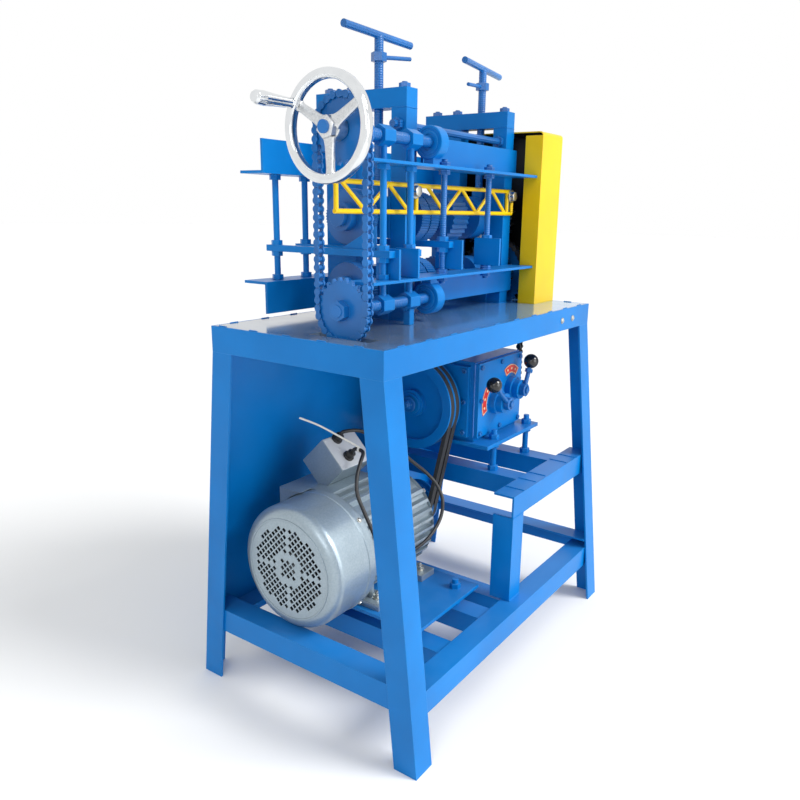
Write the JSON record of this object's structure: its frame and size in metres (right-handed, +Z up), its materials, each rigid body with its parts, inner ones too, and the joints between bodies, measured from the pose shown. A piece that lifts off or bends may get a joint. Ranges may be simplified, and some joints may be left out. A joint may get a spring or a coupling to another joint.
{
  "type": "cable stripping machine",
  "caption": "Floor-standing cable stripping machine: geared feed rollers and adjustable guides on a table, driven by a motor, belt, gearbox and chain below.",
  "frame": {"origin": "on the floor under the middle of the whole machine, handwheel grip included", "axes": "+Z up; +X along the roller shafts from the handwheel to the gear guard; -Y towards the operator"},
  "size_m": [1.018, 0.636, 1.481],
  "materials": {
    "blue_enamel": "gloss enamel",
    "yellow_enamel": "gloss enamel",
    "table_enamel": "gloss enamel",
    "motor_grey": "hammer finish",
    "zinc_steel": "zinc plated",
    "turned_steel": "turned",
    "chrome": "polished",
    "black_rubber": "matte",
    "black_ball": "gloss",
    "black_lead": "matte",
    "fan_plastic": "moulded",
    "chain_steel": "oiled",
    "red_plate": "printed"
  },
  "bodies": {
    "frame": {"stand_legs": "blue_enamel", "table_apron": "blue_enamel", "table_top": "table_enamel", "lower_frame": "blue_enamel", "gearbox_platform": "blue_enamel", "back_panel": "blue_enamel", "motor_plate": "blue_enamel", "motor_body": "motor_grey", "motor_end_shields": "motor_grey", "fan_cover": "motor_grey", "terminal_base": "motor_grey", "terminal_box": "motor_grey", "motor_lead": "black_lead", "v_belts": "black_rubber", "gearbox_base": "blue_enamel", "gearbox_housing": "blue_enamel", "gearbox_cover": "blue_enamel", "position_plates": "red_plate", "drive_chain": "chain_steel", "gear_guard": "yellow_enamel", "portals": "blue_enamel", "front_rails": "blue_enamel", "back_rails": "blue_enamel", "lower_bearings": "blue_enamel", "clamp_rods": "blue_enamel", "fixed_guides": "blue_enamel", "head_bolts": "zinc_steel", "guide_chain": "blue_enamel"},
    "motor_rotor": {"motor_shaft": "turned_steel", "motor_fan": "fan_plastic", "motor_pulley": "blue_enamel"},
    "gearbox_input": {"input_shaft": "turned_steel", "input_pulley": "blue_enamel"},
    "gearbox_output": {"output_shaft": "turned_steel", "output_sprocket": "blue_enamel"},
    "lower_roller": {"lower_shaft": "turned_steel", "lower_wheels": "blue_enamel", "lower_gear": "turned_steel", "driven_sprocket": "blue_enamel"},
    "upper_carriage": {"upper_bearings": "blue_enamel"},
    "upper_roller": {"upper_shaft": "turned_steel", "upper_wheels": "blue_enamel", "upper_gear": "turned_steel"},
    "left_press": {"left_screw": "blue_enamel"},
    "right_press": {"right_screw": "blue_enamel"},
    "left_lock": {"left_lock_nut": "zinc_steel"},
    "right_lock": {"right_lock_nut": "zinc_steel"},
    "speed_lever": {"speed_lever": "zinc_steel", "speed_knob": "black_ball"},
    "range_lever": {"range_lever": "zinc_steel", "range_knob": "black_ball"},
    "handwheel": {"handwheel": "chrome", "upper_screw": "blue_enamel", "upper_sprocket": "blue_enamel"},
    "handwheel_grip": {"grip": "chrome"},
    "lower_adjuster": {"lower_screw": "blue_enamel", "lower_sprocket": "blue_enamel"},
    "outer_guide": {"outer_guide": "blue_enamel"},
    "inner_guide": {"inner_guide": "blue_enamel"},
    "truss_guard": {"truss_guard": "yellow_enamel"}
  },
  "joints": [
    {"name": "motor_spin", "type": "hinge", "parent": "frame", "child": "motor_rotor", "pos_m": [0.036, 0.066, 0.33], "axis": [1, 0, 0], "continuous": true},
    {"name": "input_spin", "type": "hinge", "parent": "frame", "child": "gearbox_input", "pos_m": [0.036, 0.066, 0.617], "axis": [1, 0, 0], "continuous": true},
    {"name": "lower_spin", "type": "hinge", "parent": "frame", "child": "lower_roller", "pos_m": [0.036, 0.05, 0.937], "axis": [1, 0, 0], "continuous": true, "deforming": ["drive_chain"]},
    {"name": "output_spin", "type": "hinge", "parent": "frame", "child": "gearbox_output", "pos_m": [0.036, -0.00043, 0.64399], "axis": [1, 0, 0], "continuous": true},
    {"name": "carriage_lift", "type": "slide", "parent": "frame", "child": "upper_carriage", "axis": [0, 0, 1], "range_m": [0, 0.01]},
    {"name": "upper_spin", "type": "hinge", "parent": "upper_carriage", "child": "upper_roller", "pos_m": [0.036, 0.05, 1.093], "axis": [1, 0, 0], "continuous": true},
    {"name": "left_press_turn", "type": "hinge", "parent": "upper_carriage", "child": "left_press", "pos_m": [-0.093, 0.05, 1.4], "axis": [0, 0, 1], "range_deg": [-5, 905]},
    {"name": "right_press_turn", "type": "hinge", "parent": "upper_carriage", "child": "right_press", "pos_m": [0.355, 0.05, 1.4], "axis": [0, 0, 1], "range_deg": [-5, 905]},
    {"name": "left_lock_turn", "type": "hinge", "parent": "left_press", "child": "left_lock", "pos_m": [-0.093, 0.05, 1.429], "axis": [0, 0, 1], "range_deg": [-120, 120]},
    {"name": "right_lock_turn", "type": "hinge", "parent": "right_press", "child": "right_lock", "pos_m": [0.355, 0.05, 1.429], "axis": [0, 0, 1], "range_deg": [-120, 120]},
    {"name": "speed_lever_turn", "type": "hinge", "parent": "frame", "child": "speed_lever", "pos_m": [0.226, -0.1, 0.618], "axis": [0, 1, 0], "range_deg": [-25, 25]},
    {"name": "range_lever_turn", "type": "hinge", "parent": "frame", "child": "range_lever", "pos_m": [0.312, -0.1, 0.64], "axis": [0, 1, 0], "range_deg": [-25, 25]},
    {"name": "handwheel_turn", "type": "hinge", "parent": "frame", "child": "handwheel", "pos_m": [-0.408, -0.078, 1.25097], "axis": [1, 0, 0], "range_deg": [-450, 450], "deforming": ["guide_chain"]},
    {"name": "grip_spin", "type": "hinge", "parent": "handwheel", "child": "handwheel_grip", "pos_m": [-0.464, 0.00072, 1.29461], "axis": [1, 0, 0], "continuous": true},
    {"name": "lower_adjuster_turn", "type": "hinge", "parent": "frame", "child": "lower_adjuster", "pos_m": [-0.368, -0.078, 0.9176], "axis": [1, 0, 0], "range_deg": [-455, 455]},
    {"name": "outer_guide_slide", "type": "slide", "parent": "frame", "child": "outer_guide", "axis": [1, 0, 0], "range_m": [-0.0102, 0.0102]},
    {"name": "inner_guide_slide", "type": "slide", "parent": "frame", "child": "inner_guide", "axis": [1, 0, 0], "range_m": [-0.0102, 0.0102]},
    {"name": "guard_lift", "type": "slide", "parent": "frame", "child": "truss_guard", "axis": [0, 0, 1], "range_m": [0, 0.025]}
  ],
  "couplings": [
    {"joint": "input_spin", "follows": "motor_spin", "ratio": 0.4918},
    {"joint": "output_spin", "follows": "lower_spin", "ratio": 2},
    {"joint": "upper_spin", "follows": "lower_spin", "ratio": -1},
    {"joint": "left_press_turn", "follows": "carriage_lift", "rad_per_m": 1570.8},
    {"joint": "right_press_turn", "follows": "carriage_lift", "rad_per_m": 1570.8},
    {"joint": "lower_adjuster_turn", "follows": "handwheel_turn", "ratio": 1},
    {"joint": "outer_guide_slide", "follows": "handwheel_turn", "m_per_rad": 0.0012732},
    {"joint": "inner_guide_slide", "follows": "handwheel_turn", "m_per_rad": -0.0012732}
  ]
}
